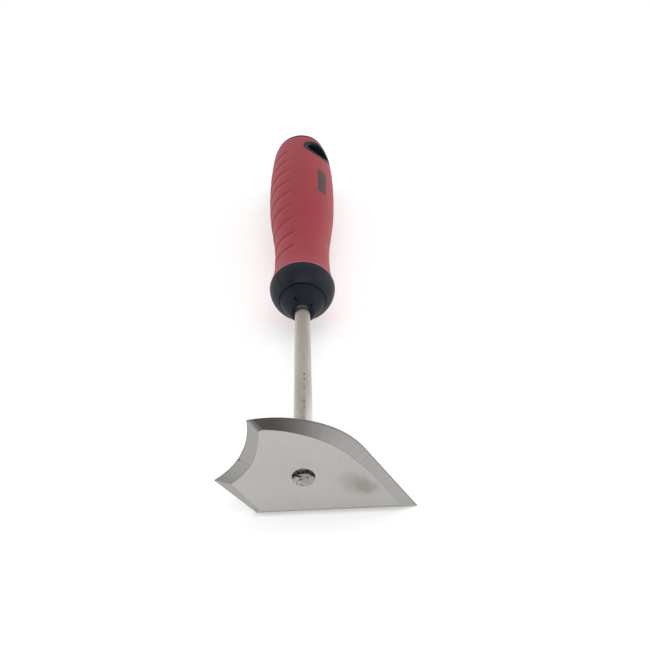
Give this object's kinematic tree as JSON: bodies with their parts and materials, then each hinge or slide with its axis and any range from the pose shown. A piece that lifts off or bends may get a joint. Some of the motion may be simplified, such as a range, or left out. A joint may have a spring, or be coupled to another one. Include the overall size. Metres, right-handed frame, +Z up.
{
  "type": "profile paint scraper",
  "caption": "Hand scraper with a bevelled, curved and straight-edged steel blade set square on a round shank, in a soft two-colour handle with a hanging hole.",
  "frame": {"origin": "middle of the whole tool's length and width, on the level of the blade's straight bottom edge", "axes": "+Y runs along the shank from the blade to the butt, +Z is up from the blade's straight bottom edge, +X is towards the long pointed end of the blade"},
  "size_m": [0.0802, 0.264, 0.05],
  "materials": {
    "blade_steel": "fine ground, matt",
    "weld_metal": "rough, spattered weld",
    "shank_plating": "nickel plated, satin, a little pitted",
    "black_plastic": "moulded, semi-matt",
    "red_grip": "soft-touch, matt",
    "label_grey": "matt"
  },
  "bodies": {
    "root": {"blade": "blade_steel", "plug_weld": "weld_metal", "shank": "shank_plating", "nose_collar": "black_plastic", "bolster": "black_plastic", "handle_core": "black_plastic", "grip_sleeve": "red_grip", "label_plate": "label_grey", "hanging_eyelet": "black_plastic", "end_cap": "black_plastic"}
  },
  "joints": []
}
